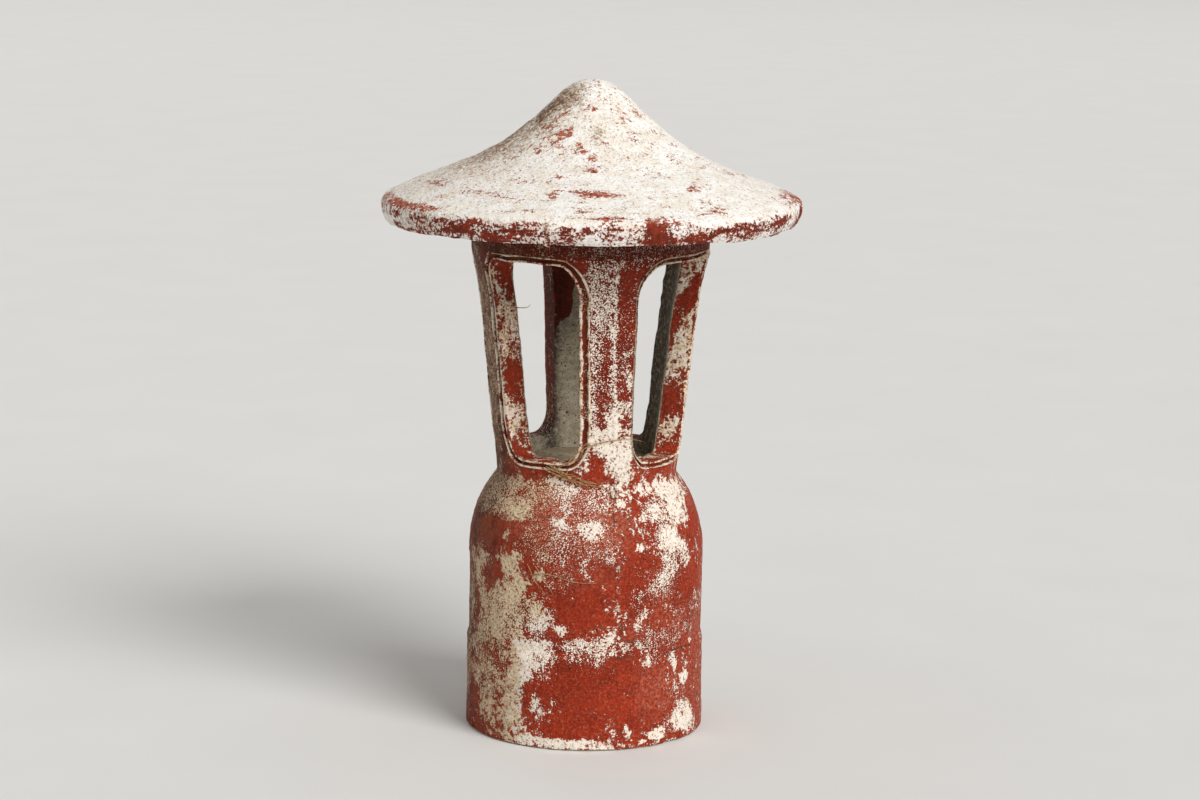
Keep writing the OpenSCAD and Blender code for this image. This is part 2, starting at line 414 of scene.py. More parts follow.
def turned(name, outline, columns):
    """A closed turned solid whose outline starts and ends on the axis."""
    inner = outline[1:-1]
    phi = np.linspace(0, 360, columns, endpoint=False)[:, None]
    p = swept(inner, phi)
    k = len(inner)
    faces = quads(columns, k, True, False)
    top, bottom = len(p), len(p) + 1
    for c in range(columns):
        d = (c + 1) % columns
        faces.append([top, c * k, d * k])
        faces.append([bottom, d * k + k - 1, c * k + k - 1])
    ends = np.array([[0, 0, outline[0][1]], [0, 0, outline[-1][1]]])
    return new_mesh(name, np.concatenate([p, ends]), faces)


def strand(name, path, radius, sides=6):
    """A thin round strand along points given in millimetres, thinning to its tip."""
    path = np.asarray(path, float)
    for _ in range(3):
        middle = (path[:-1] + path[1:]) / 2
        quarter = np.empty((2 * len(middle), 3))
        quarter[0::2] = path[:-1] * 0.75 + path[1:] * 0.25
        quarter[1::2] = path[:-1] * 0.25 + path[1:] * 0.75
        path = np.concatenate([path[:1], quarter[1:-1], path[-1:]])
    along = np.gradient(path, axis=0)
    along /= np.linalg.norm(along, axis=1)[:, None]
    across = np.cross(along, [0.3, 0.2, 0.93])
    across /= np.linalg.norm(across, axis=1)[:, None]
    other = np.cross(along, across)
    t = np.linspace(0, 1, len(path))
    size = radius * (1 - 0.6 * t ** 2) * (1 + 0.15 * np.sin(t * 37))
    a = np.linspace(0, 2 * np.pi, sides, endpoint=False)
    rings = path[:, None] + size[:, None, None] * (np.cos(a)[None, :, None] * across[:, None]
                                                   + np.sin(a)[None, :, None] * other[:, None])
    n = len(path)
    faces = quads(n, sides, False, True) + [list(range(sides)), list(range((n - 1) * sides, n * sides))]
    return new_mesh(name, rings.reshape(-1, 3), faces)


# ---- where the paint has gone

def patches(phi, z, r, spots):
    """Sum of soft spots: angle, height, half width, half height, strength in hundredths."""
    total = np.zeros_like(phi)
    for spot_phi, spot_z, half_w, half_h, amount in spots:
        across = np.radians((phi - spot_phi + 180) % 360 - 180) * r / half_w
        up = (z - spot_z) / half_h
        total += amount / 100 * smooth(np.sqrt(across ** 2 + up ** 2), 1.6, 0.4)
    return total


# Each spot: angle, height, half width, half height, strength in hundredths.
WORN_LEFT = (
    (-52, 124, 12, 22, 58), (-76, 116, 10, 22, 42), (-60, 101, 16, 10, 46), (-40, 108, 7, 8, 40),
    (-37, 97, 10, 7, 48), (-39, 88, 7, 5, 36), (-25, 88, 4, 4, 62), (-55, 82, 22, 13, 42),
    (-45, 66, 19, 7, 56), (-36, 77, 9, 6, 42), (-46, 54, 9, 9, 52), (-36, 54, 8, 8, 40),
    (-37, 31, 6, 9, 50), (-28, 36, 3, 3, 42), (-52, 42, 11, 13, 50), (-65, 42, 15, 20, 40),
    (-52, 22, 10, 9, 44), (-49, 10, 19, 9, 50), (-78, 60, 10, 20, 38), (-32, 18, 7, 8, 34),
    (-33, 64, 8, 8, 28), (-31, 46, 5, 6, 24), (-70, 84, 14, 12, 34), (-68, 20, 12, 12, 32),
    (-92, 100, 14, 30, 30), (-94, 40, 14, 30, 28),
)
WORN_SHOULDER = (
    (-56, 170, 15, 7, 56), (-57, 153, 4, 7, 42), (-63, 187, 12, 5, 36), (-28, 186, 10, 7, 42),
    (-48, 178, 8, 5, 20), (-44, 184, 9, 5, 20), (22, 178, 10, 12, 14), (20, 168, 9, 9, 14),
    (-38, 192, 9, 5, 40), (-28, 165, 6, 4, 58), (-12, 160, 9, 6, 62), (-24, 174, 4, 4, 35),
    (-9, 180, 7, 9, 30), (-4, 188, 6, 4, 32), (3, 184, 4, 11, 36), (8, 176, 5, 9, 32), (10, 191, 6, 6, 36),
    (46, 172, 16, 12, 47), (33, 164, 14, 17, 34), (28, 149, 11, 11, 36), (40, 186, 22, 7, 34),
    (42, 140, 8, 10, 44), (30, 130, 10, 15, 30), (26, 117, 9, 9, 26), (60, 180, 14, 10, 30),
    (13, 147, 3, 4, 46), (-33, 140, 4, 3, 30), (-30, 118, 3, 4, 26), (-36, 124, 5, 7, 26),
    (-26, 150, 5, 3, 22), (-33, 158, 7, 3, 20), (2, 134, 3, 6, 34), (-16, 136, 3, 5, 34),
    (-74, 178, 14, 12, 34), (-80, 132, 9, 14, 30), (-92, 176, 18, 14, 36),
)
WORN_STEP = (
    (13, 114, 5, 4, 40), (15, 100, 5, 6, 42), (11, 93, 4, 5, 34), (3, 96, 3, 10, 36), (-18, 76, 7, 6, 47),
    (-7, 75, 8, 6, 31), (-4, 84, 4, 5, 40), (2, 76, 3, 7, 38), (-15, 67, 12, 3, 34), (9, 78, 7, 2, 26),
    (17, 66, 2, 4, 44), (55, 105, 6, 7, 30), (49, 68, 4, 6, 36), (34, 60, 4, 7, 46), (41, 45, 5, 5, 54),
    (35, 50, 3, 9, 36), (42, 20, 13, 8, 40), (33, 14, 11, 6, 46), (48, 12, 12, 6, 44), (20, 9, 10, 4, 42),
    (-25, 27.5, 7, 1.2, 34), (-12, 27.5, 5, 1.2, 34), (10, 75, 8, 1.6, 20), (3, 17, 2, 4, 44),
    (5, 12, 3, 3, 50), (-26, 4, 34, 4, 60), (8, 3, 12, 3, 30),
)
WORN_POST = (
    (0, 216, 15, 16, 50), (8, 203, 9, 12, 36), (-1, 232, 6, 12, 26), (-10, 300, 4, 34, 24),
    (-1, 340, 2.5, 14, 36), (-1, 308, 3, 18, 36), (-1, 268, 3, 26, 34), (10, 264, 4, 12, 34),
    (-5, 310, 4, 14, 22), (-18, 203, 6, 5, 34), (5, 250, 5, 10, 24), (-12, 250, 3, 30, 18),
    (-9, 328, 10, 22, 30), (-12, 346, 6, 9, 20), (10, 230, 5, 16, 30), (-6, 222, 10, 10, 15),
    (-14, 238, 5, 20, 22), (0, 244, 4, 12, 22), (-88, 285, 16, 76, 34),
)
SOLID = (
    (-14, 44, 36, 22, 36), (-18, 103, 16, 18, 22), (-26, 16, 20, 9, 30), (-62, 155, 15, 10, 34),
    (57, 160, 9, 11, 30), (46, 114, 16, 18, 22), (20, 44, 16, 18, 20), (2, 122, 12, 16, 10),
    (-11, 203, 5, 8, 40), (4, 200, 4, 6, 20), (5, 326, 5, 26, 14), (-9, 240, 4, 8, 20),
    (-70, 20, 10, 14, 15), (-86, 160, 14, 14, 15),
)
STIPPLED = (
    (-8, 332, 12, 22, 100), (-8, 296, 9, 26, 80), (6, 316, 9, 40, 70), (-38, 179, 24, 8, 100),
    (-34, 152, 24, 14, 60), (-6, 150, 18, 14, 45), (12, 122, 14, 16, 50), (20, 76, 24, 9, 60),
    (-46, 98, 18, 14, 60), (30, 128, 16, 22, 65), (-26, 122, 14, 14, 45), (-12, 178, 16, 12, 55),
    (6, 104, 10, 12, 40), (-66, 70, 20, 40, 50), (24, 166, 12, 16, 50), (50, 92, 20, 14, 40),
    (0, 62, 60, 6, 30), (-12, 75, 22, 8, 40), (-30, 62, 30, 50, 35), (-72, 178, 20, 14, 60),
    (-90, 280, 18, 80, 80), (-92, 172, 20, 20, 70), (-94, 70, 16, 60, 50), (34, 30, 20, 20, 40),
    (14, 368, 70, 16, 90), (-52, 368, 30, 14, 55), (4, 262, 14, 26, 50), (-10, 250, 8, 24, 60),
    (-26, 168, 40, 26, 28), (30, 90, 26, 30, 35), (-20, 140, 30, 12, 35),
)
# Dust, and on the right side a painted sheen.
DUST_AND_SHEEN = (
    (20, 44, 16, 22, 55), (40, 84, 24, 16, 50), (64, 44, 22, 50, 70), (66, 110, 12, 30, 60),
    (62, 182, 16, 14, 70), (-36, 178, 26, 8, 55), (12, 84, 16, 10, 35), (-72, 95, 16, 60, 35),
    (-5, 158, 20, 20, 45), (36, 40, 16, 20, 45), (-10, 325, 9, 26, 30), (-26, 166, 38, 24, 80),
    (26, 118, 12, 20, 40), (-20, 128, 22, 10, 35),
)
# Dirt; the spots on the left post, the left side and under the roof's rim are painted shade as well.
DIRT_AND_SHADE_SPOTS = (
    (-88, 290, 16, 84, 60), (-88, 215, 16, 24, 50), (-84, 178, 16, 14, 40), (-88, 90, 10, 70, 30),
    (-62, 366, 40, 12, 40), (-74, 150, 24, 16, 15), (-50, 30, 14, 30, 20), (86, 215, 10, 30, 30),
    (180, 290, 14, 76, 50), (94, 290, 12, 70, 35),
)
EVEN_WEAR = 0.19
# The line of the crease beside the joint: angle, height.
CREASE = ((2, 81), (7, 78), (13, 78.5), (20, 75))
CRACKED = ((0, 180, 60, 16, 120), (0, 92, 60, 14, 90), (0, 130, 60, 10, 50), (0, 20, 60, 14, 40))
# Painted shade on the inner walls and window reveals that lie out of the light.
SHADED_INSIDE = ((100, 280, 26, 120, 95), (-160, 270, 9, 110, 95), (-166, 315, 16, 40, 80))
OVERSPRAY = ((-168, 313, 15, 25, 110), (-160, 274, 8, 30, 100))


def dark_lines(p, phi, z, r):
    """Dirt in the joint's crack, in the crease beside it and on the foot band's step."""
    across = np.radians(phi) * r
    crack = np.exp(-((np.abs(across) - 1.3) / 0.8) ** 2)
    crack *= 0.45 + 0.9 * noise(p * [0, 0, 1] + across[:, None] * 3, 7, 371)
    crease = z - np.interp(phi, *zip(*CREASE)) - 0.8 * noise(p, 5, 381)
    step = z - FOOT_H - 2.5 - 0.8 * noise(p, 12, 391)
    return (crack * (0.25 + patches(0 * phi, z, r, CRACKED))
            + 1.1 * np.exp(-(crease / 0.9) ** 2) * smooth(phi, 1, 3) * smooth(phi, 22, 18)
            + 0.8 * np.exp(-(step / 1.1) ** 2) * smooth(noise(p, 11, 393), -0.3, 0.3))


def set_body_finish(obj, p, wear_more=0.0, inside=None, lips=None):
    """Works out the finish of each point of a body piece from its place before bending.

    unseen grows from 0 in front to 1 on the back, which has wear of its own."""
    phi, z, r = around(p)
    wander = fractal(p, 18, 301) * 2.5
    z_soft = z + wander
    phi_soft = phi + np.degrees(fractal(p, 18, 311) * 2.5 / np.maximum(r, 20))
    unseen = smooth(np.abs(phi + 10), 84, 108)
    wear = EVEN_WEAR + patches(phi_soft, z_soft, r, WORN_LEFT + WORN_SHOULDER + WORN_STEP + WORN_POST)
    wear = np.clip(wear - patches(phi_soft, z_soft, r, SOLID), -0.25, 0.84)
    wear += unseen * (0.12 + 0.42 * fractal(p, 46, 331))
    inner = smooth(r - r_in(z), 3.0, 0.5) if inside is None else inside
    overspray = fractal(p, 34, 321) * 0.4 + smooth(z, 300, 350) * 0.5 - 0.25
    overspray += patches(phi_soft, z, r, OVERSPRAY)
    wear -= 0.6 * inner
    ends = np.maximum(smooth(z, 1.0, 0.2), smooth(z, SEAT_Z - 1.0, SEAT_Z - 0.2))
    raw = np.maximum(inner * smooth(overspray, 0.35, 0.15), ends)
    dirt = patches(phi_soft, z_soft, r, DIRT_AND_SHADE_SPOTS)
    # The whole left side darker: painted shade, partly dirt.
    dirt += 0.55 * smooth(phi_soft, -28, -76) * smooth(phi_soft, -135, -95)
    dirt += dark_lines(p, phi, z, r)
    # Painted shade inside the chamber, fading out towards the outer face.
    smoke = patches(phi, z, r, SHADED_INSIDE) * smooth(r - r_in(z), 17.5, 14)
    if lips is not None:
        wear, dirt = lips(wear, dirt)
    # Painted shade, partly dirt, in a band under the roof's rim, and a lighter darkening up the column from
    # about 200 mm.
    shade = smooth(z + 0.6 * wander, RING_Z - 2, RING_Z + 8)
    wear += 0.10 * shade * (1 - unseen)
    shade = np.maximum(shade, 0.36 * smooth(z_soft, 196, 216))
    stipple = patches(phi_soft, z_soft, r, STIPPLED) + unseen * smooth(fractal(p, 40, 341), -0.2, 0.5)
    # Dust, and on the right side a painted sheen.
    dust = patches(phi_soft, z_soft, r, DUST_AND_SHEEN) + unseen * smooth(fractal(p, 50, 351), -0.1, 0.6) * 0.6
    chalky = smooth(phi_soft - 14 * smooth(z, 80, 110), -62, -32) if lips is None else 0.45
    chalky = chalky * (1 - unseen) + unseen * smooth(fractal(p, 60, 361), -0.3, 0.3)
    set_values(obj, wear=wear + wear_more, stipple=np.minimum(stipple, 1), dust=np.minimum(dust, 1),
               dirt=np.minimum(dirt, 1), soot=shade, chalk=chalky, raw=raw, smoke=np.clip(smoke, 0, 0.85))


# ---- materials

def rgb(red, green, blue):
    """A linear colour with alpha from 0 to 255 display values."""
    out = []
    for c in (red / 255, green / 255, blue / 255):
        out.append(c / 12.92 if c <= 0.04045 else ((c + 0.055) / 1.055) ** 2.4)
    return (*out, 1.0)


class Nodes:
    """Short calls that build one material. Sockets and plain numbers can be mixed freely."""

    def __init__(self, name):
        self.material = bpy.data.materials.new(name)
        self.material.use_nodes = True
        self.tree = self.material.node_tree
        self.tree.nodes.clear()
        self.at = self.scaled(self.node("TexCoord").outputs["Object"], 1 / MM)

    def node(self, kind, inputs=(), **settings):
        """A new shader node. Each of its inputs gets a socket's link or a plain value."""
        made = self.tree.nodes.new("ShaderNode" + kind)
        for key, value in settings.items():
            setattr(made, key, value)
        for key, value in dict(inputs).items():
            if isinstance(value, bpy.types.NodeSocket):
                self.tree.links.new(value, made.inputs[key])
            else:
                made.inputs[key].default_value = value
        return made

    def scaled(self, vector, factor):
        return self.node("VectorMath", {0: vector, "Scale": factor}, operation="SCALE").outputs[0]

    def stretched(self, vector, factors):
        return self.node("VectorMath", {0: vector, 1: factors}, operation="MULTIPLY").outputs[0]

    def math(self, operation, a, b=0.0):
        return self.node("Math", {0: a, 1: b}, operation=operation).outputs[0]

    def add(self, *values):
        total = values[0]
        for value in values[1:]:
            total = self.math("ADD", total, value)
        return total

    def times(self, a, b):
        return self.math("MULTIPLY", a, b)

    def swing(self, value, amount):
        """A 0 to 1 noise turned into plus or minus amount about its middle."""
        made = self.node("Math", {0: value, 1: 2 * amount, 2: -amount}, operation="MULTIPLY_ADD")
        return made.outputs[0]

    def step(self, value, start, end):
        """0 before start, 1 past end, smooth between; start may be above end."""
        low, high = sorted((start, end))
        ends = {"To Min": float(low != start), "To Max": float(low == start)}
        made = self.node("MapRange", {"Value": value, "From Min": low, "From Max": high, **ends},
                         interpolation_type="SMOOTHSTEP")
        return made.outputs["Result"]

    def noise(self, size, detail=3.0, roughness=0.55, at=None, distortion=0.0):
        made = self.node("TexNoise", {
            "Vector": self.at if at is None else at, "Scale": 1 / size, "Detail": detail,
            "Roughness": roughness, "Distortion": distortion})
        return made.outputs["Fac"]

    def spots(self, size, detail, roughness, start, end):
        """Blotches where a noise is past end, soft from start on."""
        return self.step(self.noise(size, detail, roughness), start, end)

    def dots(self, size):
        """Evenly scattered small dots: about 0.45 at their middles and -0.4 between them."""
        made = self.node("TexVoronoi", {"Vector": self.at, "Scale": 1 / size, "Randomness": 0.75},
                         feature="F1")
        return self.math("SUBTRACT", 0.48, made.outputs["Distance"])

    def attribute(self, name, output="Fac"):
        return self.node("Attribute", attribute_name=name).outputs[output]

    def mix(self, factor, a, b):
        """Mixes two colours."""
        return self.node("Mix", {0: factor, 6: a, 7: b}, data_type="RGBA").outputs[2]

    def blend(self, factor, a, b):
        """Mixes two numbers."""
        return self.node("Mix", {0: factor, 2: a, 3: b}, data_type="FLOAT").outputs[0]

    def finish(self, colour, roughness, height, depth, specular=0.12):
        """height is 0 to 1 and depth is its size in millimetres."""
        bump = self.node("Bump", {"Strength": 1.0, "Distance": depth * MM, "Height": height})
        shader = self.node("BsdfPrincipled", {
            "Base Color": colour, "Roughness": roughness, "Specular IOR Level": specular,
            "Normal": bump.outputs["Normal"]})
        self.node("OutputMaterial", {"Surface": shader.outputs["BSDF"]})
        return self.material


# The deepest red is painted shade between the stipple's dots.
RED, RED_DARK, RED_SHADE_DEEP, RED_DUSTY = rgb(164, 54, 27), rgb(114, 31, 14), rgb(84, 24, 12), rgb(192, 122, 98)
CREAM, CREAM_DARK = rgb(224, 202, 170), rgb(146, 118, 90)
CHALK, CHALK_GREY = rgb(240, 230, 217), rgb(190, 166, 143)
CEMENT, CEMENT_PALE, CEMENT_DARK = rgb(158, 148, 126), rgb(184, 175, 154), rgb(96, 84, 66)
# Dark browns for grime and for painted shade; the last is the painted shade inside the chamber.
GRIME_AND_SHADE, GRIME_AND_SHADE_DARK, DARK_BAND_RED, INNER_SHADE_DARK = rgb(104, 66, 42), rgb(54, 30, 19), rgb(74, 26, 12), rgb(34, 21, 15)
LIME, LIME_WARM, LIME_GREY = rgb(247, 245, 241), rgb(239, 232, 221), rgb(194, 177, 159)
LICHEN, LICHEN_DARK = rgb(150, 116, 74), rgb(88, 66, 46)


def grey_cement(s):
    """Colour and height of unpainted cement with trowel marks and small holes."""
    streaks = s.noise(7, 6, 0.6, s.stretched(s.at, (1, 1, 2.2)))
    speckle = s.noise(1.5, 4, 0.7)
    holes = s.spots(2.6, 2, 0.5, 0.63, 0.70)
    colour = s.mix(s.step(streaks, 0.35, 0.65), CEMENT, CEMENT_PALE)
    colour = s.mix(s.step(speckle, 0.52, 0.68), colour, CEMENT_DARK)
    # Painted shade in the holes.
    colour = s.mix(s.times(holes, 0.85), colour, GRIME_AND_SHADE_DARK)
    height = s.add(s.swing(streaks, 0.4), s.swing(speckle, 0.35), s.times(holes, -0.6), 0.5)
    return colour, height


def painted(name, edge=0.5, coarse_size=13.0, tall=1.0):
    """Brick-red paint, flaking off cream cement, with bare grey cement inside.

    Paint is gone above the level edge. Flakes are about coarse_size, and tall times as high."""
    s = Nodes(name)
    coarse = s.noise(coarse_size, 7, 0.68, s.stretched(s.at, (1, 1, 1 / tall)), 0.3)
    crumbs = s.noise(3.2, 4, 0.7)
    grain = s.noise(1.5, 1, 0.5)
    drift = s.noise(28, 3, 0.5)
    dirt, soot, stipple = s.attribute("dirt"), s.attribute("soot"), s.attribute("stipple")
    calmer = s.math("SUBTRACT", 1.0, s.times(stipple, 0.4))
    broad = s.times(s.add(s.swing(coarse, 1.2), s.swing(crumbs, 0.9)), calmer)
    level = s.add(s.attribute("wear"), broad, s.swing(grain, 0.4))
    dots = s.dots(1.15)
    level = s.add(level, s.times(s.times(dots, 2.1), stipple), s.times(stipple, 0.06))
    bare = s.step(level, edge - 0.05, edge + 0.06)
    thin = s.step(level, edge - 0.25, edge)
    paint = s.mix(s.spots(9, 5, 0.6, 0.38, 0.62), RED_DARK, RED)
    paint = s.mix(s.times(s.step(drift, 0.38, 0.62), 0.6), RED, paint)
    # A pale pink veil: dust, and on the right side a painted sheen.
    veil = s.times(s.attribute("dust"), s.spots(2.4, 4, 0.7, 0.40, 0.60))
    veil = s.math("MAXIMUM", veil, s.times(thin, 0.25))
    paint = s.mix(veil, paint, RED_DUSTY)
    paint = s.mix(s.times(s.spots(2.1, 3, 0.65, 0.40, 0.60), 0.6), paint, RED_DARK)
    paint = s.mix(s.times(s.spots(1.7, 2, 0.5, 0.55, 0.68), 0.3), paint, RED_DUSTY)
    # Painted shade in the hollows between the stipple's dots, weaker under dust.
    between = s.times(stipple, s.step(dots, 0.08, -0.12))
    paint = s.mix(s.times(between, s.blend(s.attribute("dust"), 0.75, 0.2)), paint, RED_SHADE_DEEP)
    # Painted shade along the edges where the paint lifts.
    lifting_edge_shade = s.times(s.step(level, edge - 0.14, edge - 0.05), s.spots(6, 4, 0.6, 0.42, 0.56))
    paint = s.mix(s.times(lifting_edge_shade, 0.6), paint, GRIME_AND_SHADE_DARK)
    clean = s.step(s.add(s.attribute("chalk"), s.swing(s.noise(6, 5, 0.65), 0.9)), 0.25, 0.75)
    cream = s.mix(clean, CREAM, CHALK)
    sandy = s.spots(1.9, 3, 0.7, 0.50, 0.62)
    cream = s.mix(s.times(sandy, 0.8), cream, s.mix(clean, CREAM_DARK, CHALK_GREY))
    cream = s.mix(s.times(s.step(level, edge + 0.20, edge), 0.5), cream, RED_DUSTY)
    specks = s.step(s.add(s.noise(1.8, 3, 0.65), s.times(clean, -0.05)), 0.575, 0.64)
    cream = s.mix(s.times(specks, 0.65), cream, s.mix(s.step(grain, 0.4, 0.6), GRIME_AND_SHADE_DARK, GRIME_AND_SHADE))
    colour = s.mix(bare, paint, cream)
    pits = s.spots(1.9, 2, 0.5, 0.67, 0.71)
    # Painted shade in the pits.
    colour = s.mix(s.times(pits, 0.7), colour, GRIME_AND_SHADE_DARK)
    # Darker brown for dirt, and for the painted shade on the left, under the roof's rim and in the lining
    # grooves.
    grime_and_shade = s.step(s.add(dirt, s.swing(grain, 0.5), s.swing(crumbs, 0.5)), 0.15, 0.95)
    grime_and_shade = s.times(grime_and_shade, s.blend(bare, 0.85, 0.42))
    colour = s.mix(grime_and_shade, colour, s.mix(s.spots(11, 4, 0.6, 0.4, 0.6), GRIME_AND_SHADE_DARK, GRIME_AND_SHADE))
    # Painted shade, partly dirt, under the roof's rim and up the column, broken by noise and weaker on bare
    # cream.
    soot = s.times(soot, s.step(s.add(grain, s.swing(crumbs, 0.4)), 0.70, 0.46))
    on_cream = s.times(s.step(s.attribute("soot"), 0.4, 0.9), 0.62)
    colour = s.mix(s.blend(bare, s.times(soot, 0.95), on_cream), colour, DARK_BAND_RED)
    grey, grey_height = grey_cement(s)
    raw = s.step(s.add(s.attribute("raw"), s.swing(s.noise(8, 7, 0.7), 0.8)), 0.44, 0.52)
    colour = s.mix(raw, colour, grey)
    # Painted shade inside the chamber.
    smoke = s.times(s.attribute("smoke"), s.blend(raw, 0.95, 1.0))
    colour = s.mix(s.times(smoke, s.step(crumbs, 0.80, 0.40)), colour, INNER_SHADE_DARK)
    height = s.add(s.times(bare, 0.3), s.swing(crumbs, 0.6), s.swing(grain, 0.4), s.times(pits, -0.5), 0.4)
    height = s.blend(raw, height, grey_height)
    roughness = s.add(0.64, s.times(bare, 0.22), s.swing(crumbs, 0.1), s.times(raw, 0.1))
    return s.finish(colour, roughness, height, 0.55)


def worn_roof():
    s = Nodes("worn_roof")
    coarse = s.noise(10, 7, 0.66, s.attribute("streak", "Vector"), 0.3)
    crumbs = s.noise(3.2, 4, 0.7)
    grain = s.noise(1.6, 2, 0.6)
    band = s.attribute("soot")
    broken = s.add(s.swing(coarse, 1.25), s.swing(crumbs, 0.95), s.swing(grain, 0.4))
    broken = s.times(broken, s.blend(band, 1.0, 0.7))
    level = s.add(s.attribute("red"), broken)
    red = s.step(level, 0.45, 0.56)
    lichen = s.attribute("lichen")
    lime = s.mix(s.step(s.add(s.noise(12, 6, 0.65), s.times(lichen, -0.3)), 0.40, 0.56), LIME_WARM, LIME)
    speckle = s.step(s.add(s.noise(2.4, 4, 0.7), s.times(lichen, 0.10)), 0.52, 0.66)
    lime = s.mix(s.times(speckle, 0.7), lime, LIME_GREY)
    lime = s.mix(s.times(s.step(level, 0.28, 0.47), 0.4), lime, RED_DUSTY)
    growth = s.add(lichen, s.swing(s.noise(7, 7, 0.7), 0.9), s.swing(s.noise(2.2, 4, 0.7), 0.8))
    lime = s.mix(s.times(s.step(growth, 0.34, 0.62), 0.6), lime, LICHEN)
    lime = s.mix(s.times(s.step(growth, 0.62, 0.84), 0.8), lime, LICHEN_DARK)
    flecks = s.step(s.add(s.noise(2.1, 3, 0.6), s.times(lichen, 0.22)), 0.62, 0.69)
    lime = s.mix(s.times(flecks, 0.65), lime, GRIME_AND_SHADE)
    paint = s.mix(s.spots(5, 5, 0.6, 0.4, 0.64), RED_DARK, RED)
    veil = s.times(s.spots(2.6, 4, 0.7, 0.36, 0.60), s.blend(band, 0.8, 0.15))
    paint = s.mix(veil, paint, RED_DUSTY)
    paint = s.mix(s.times(band, 0.45), paint, DARK_BAND_RED)
    colour = s.mix(red, lime, paint)
    grey, grey_height = grey_cement(s)
    raw = s.step(s.add(s.attribute("raw"), s.swing(s.noise(8, 7, 0.7), 0.6)), 0.44, 0.54)
    colour = s.mix(raw, colour, grey)
    height = s.add(s.times(red, 0.2), s.swing(coarse, 0.3), s.swing(crumbs, 0.6), s.swing(grain, 0.5), 0.4)
    height = s.blend(raw, height, grey_height)
    roughness = s.add(0.84, s.times(red, -0.14), s.swing(crumbs, 0.1))
    return s.finish(colour, roughness, height, 0.6)


def bare_cement():
    s = Nodes("bare_cement")
    colour, height = grey_cement(s)
    dust = s.spots(16, 6, 0.65, 0.42, 0.6)
    colour = s.mix(s.times(dust, 0.5), colour, CREAM_DARK)
    crumbs = s.spots(2.4, 4, 0.65, 0.60, 0.66)
    colour = s.mix(s.times(crumbs, 0.6), colour, RED_DUSTY)
    return s.finish(colour, s.add(0.88, s.swing(dust, 0.04)), height, 0.5)


def iron_wire():
    s = Nodes("iron_wire")
    rust = s.noise(2.2, 6, 0.7)
    scale = s.noise(0.7, 3, 0.6)
    colour = s.mix(s.step(rust, 0.38, 0.6), rgb(72, 42, 28), rgb(134, 72, 38))
    colour = s.mix(s.step(scale, 0.56, 0.68), colour, rgb(40, 28, 24))
    height = s.add(s.swing(rust, 0.5), s.swing(scale, 0.4), 0.5)
    return s.finish(colour, s.add(0.8, s.swing(rust, 0.15)), height, 0.25)


def dried_rootlet():
    s = Nodes("dried_rootlet")
    fibre = s.noise(1.4, 4, 0.6)
    colour = s.mix(s.step(fibre, 0.35, 0.65), rgb(132, 92, 58), rgb(196, 160, 116))
    return s.finish(colour, s.add(0.75, s.swing(fibre, 0.1)), fibre, 0.1)


def studio_floor():
    s = Nodes("studio_floor")
    mottle = s.noise(140, 3, 0.5)
    colour = s.mix(mottle, rgb(222, 222, 221), rgb(228, 228, 227))
    away = s.node("VectorMath", {0: s.at}, operation="LENGTH")
    colour = s.mix(s.step(away.outputs["Value"], 6000, 18000), colour, rgb(196, 196, 195))
    return s.finish(colour, s.add(0.7, s.swing(mottle, 0.05)), mottle, 0.05, 0.2)


# ---- the body

def clad(obj, material):
    obj.data.materials.clear()
    obj.data.materials.append(material)


def place(obj, body, slot, *nodes):
    """Puts a finished piece under its CAD body and hides the CAD nodes it stands for. The slot is not used.
    """
    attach(obj, body)
    if nodes:
        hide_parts(*nodes)


PAINT = painted("painted_cement")
SLURRY = painted("slurry", 0.44, 8.0)
LINING = painted("window_lining", 0.5, 12.0, 1.9)


def settle(obj, p, sharp, material, *homes):
    """Gives a piece its final points, shading and material, puts it under its body and hides its CAD node.
    """
    set_points(obj, p)
    smooth_shade(obj, sharp)
    clad(obj, material)
    place(obj, *homes)


def finish_wall(obj, wear_more, sharp, material, slot, node):
    """Wear and shape of a piece of the wall."""
    p = points_of(obj)
    _, z, r = around(p)
    set_body_finish(obj, p, wear_more)
    settle(obj, body_shape(p, smooth(r - r_in(z), 10, 16)), sharp, material, "body", slot, node)


def make_shell(side):
    side_name = "right" if side > 0 else "left"
    shell = wall_piece("shell_" + side_name, 0, lambda r: side * seam_deg(r),
                       lambda r: side * (180 - seam_deg(r)), HALF_COLUMNS)
    cut(shell, [window_plug("plug_" + key, w) for key, w in WINDOWS.items() if (w[0] > 0) == (side > 0)])
    finish_wall(shell, 0.0, 38, PAINT, "painted_cement", "body_shell_" + side_name)


def make_seam(turn):
    side_name = "back" if turn else "front"
    seam = wall_piece("seam_" + side_name, SEAM_PROUD, lambda r: turn - seam_deg(r),
                      lambda r: turn + seam_deg(r), SEAM_COLUMNS)
    finish_wall(seam, 0.03, 50, SLURRY, "slurry", "seam_joint_" + side_name)


# Middles of a surround's lips and groove, in steps in from its outer edge.
OUTER_LIP, GROOVE, INNER_LIP = 0.3, 1.3, 2.5
# Worn and still painted stretches down a window's reveals: height, half height, strength.
REVEAL_BANDS = {
    "front_left": ((225, 14, 0.26), (258, 17, -0.14), (310, 16, 0.14), (345, 8, -0.16)),
    "front_right": ((337, 9, 0.26), (312, 13, -0.30), (282, 18, 0.20), (243, 10, -0.22),
                    (222, 8, 0.16)),
}


